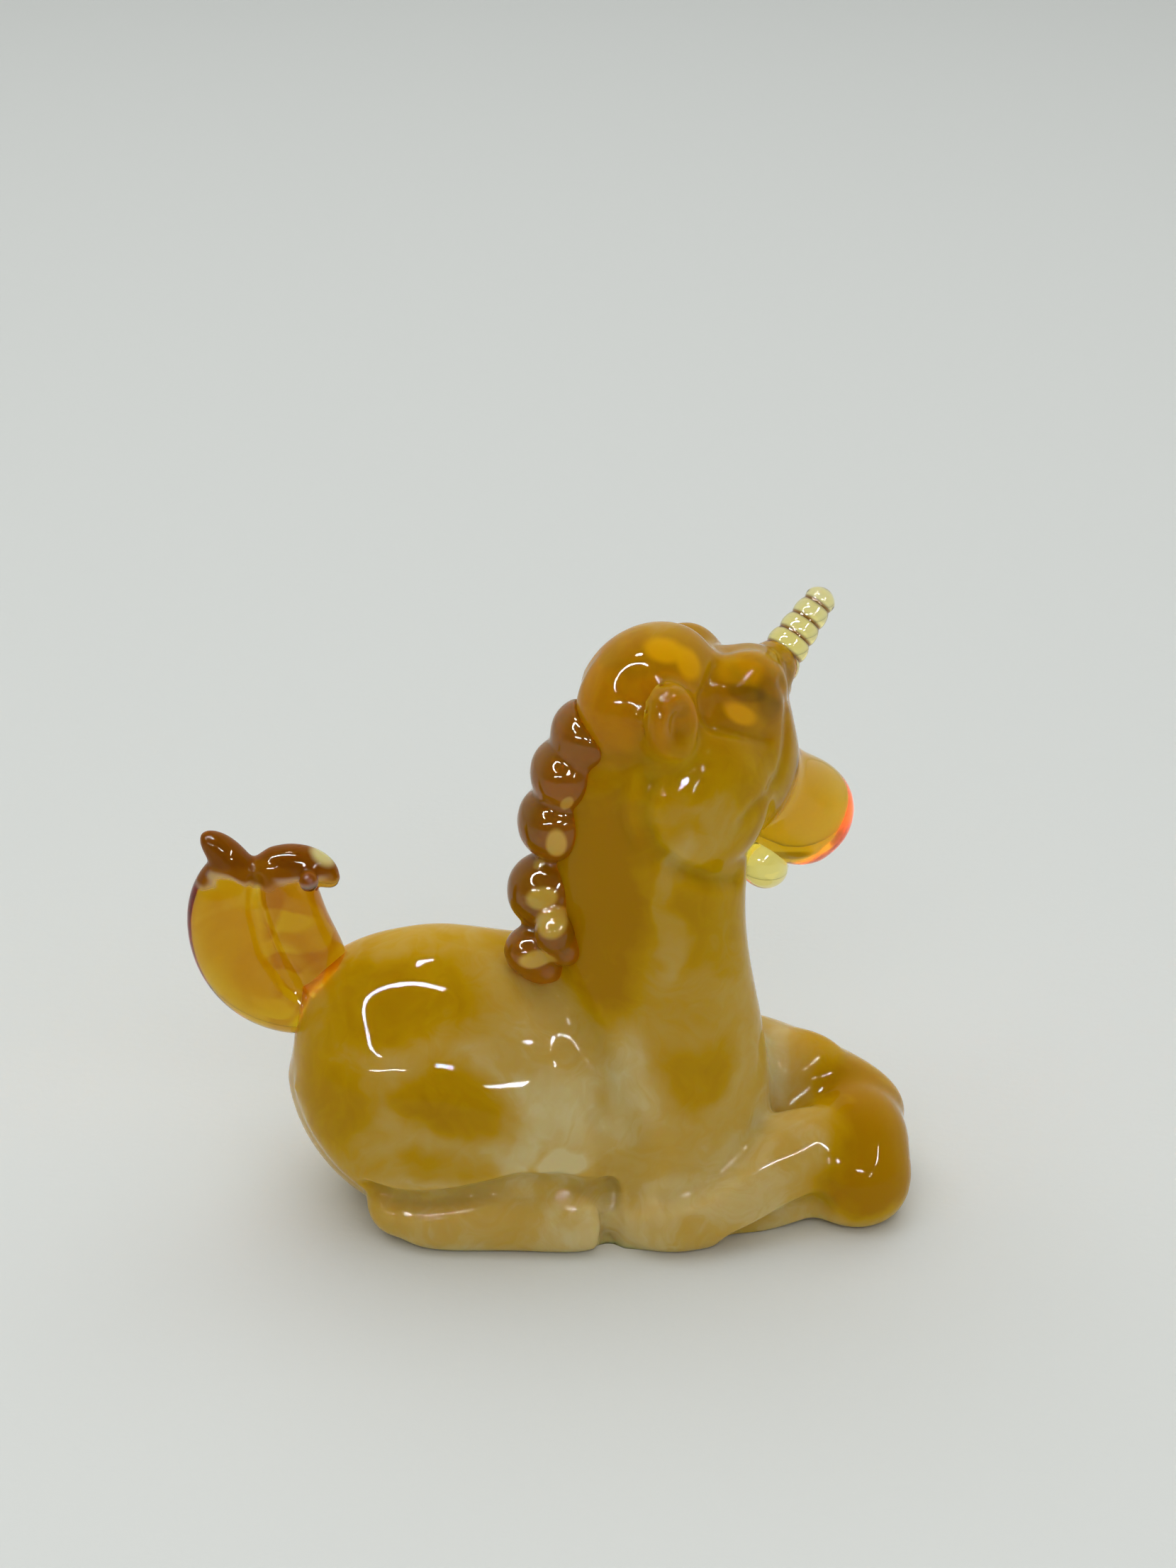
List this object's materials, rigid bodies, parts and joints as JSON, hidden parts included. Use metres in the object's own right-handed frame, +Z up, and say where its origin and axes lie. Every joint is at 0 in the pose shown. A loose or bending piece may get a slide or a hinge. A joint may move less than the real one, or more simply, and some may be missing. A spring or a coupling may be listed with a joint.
{
  "type": "unicorn figurine",
  "caption": "Pressed-glass unicorn lying down with its head turned aside, for a shelf or a table.",
  "frame": {"origin": "on the flat underside, on the body's middle plane, halfway between the tail and the front hoof", "axes": "+X runs forward along the body, +Y to the animal's left, +Z up"},
  "size_m": [0.0793, 0.0351, 0.0681],
  "materials": {
    "milky_glass": "amber glass with cream swirls, fire-polished",
    "clear_amber_glass": "clear amber glass, fire-polished",
    "pale_glass": "pale clear glass, fire-polished",
    "dark_amber_glass": "dark amber glass, fire-polished"
  },
  "bodies": {
    "root": {"torso": "milky_glass", "neck": "milky_glass", "right_thigh": "milky_glass", "left_thigh": "milky_glass", "right_hind_leg": "milky_glass", "left_hind_leg": "milky_glass", "right_foreleg": "milky_glass", "left_foreleg": "milky_glass", "front_hoof": "milky_glass", "head": "milky_glass", "right_cheek": "milky_glass", "left_cheek": "milky_glass", "muzzle": "clear_amber_glass", "forelock": "clear_amber_glass", "right_ear": "clear_amber_glass", "left_ear": "clear_amber_glass", "right_eye": "clear_amber_glass", "left_eye": "clear_amber_glass", "horn": "pale_glass", "beard": "pale_glass", "tail_lock_outer": "clear_amber_glass", "tail_lock_inner": "clear_amber_glass", "tail_curl_outer": "dark_amber_glass", "tail_curl_inner": "dark_amber_glass", "tail_curl_bead": "dark_amber_glass", "mane_lock_1": "dark_amber_glass", "mane_lock_2": "dark_amber_glass", "mane_lock_3": "dark_amber_glass", "mane_lock_4": "dark_amber_glass", "mane_lock_5": "dark_amber_glass", "mane_lock_6": "dark_amber_glass"}
  },
  "joints": []
}
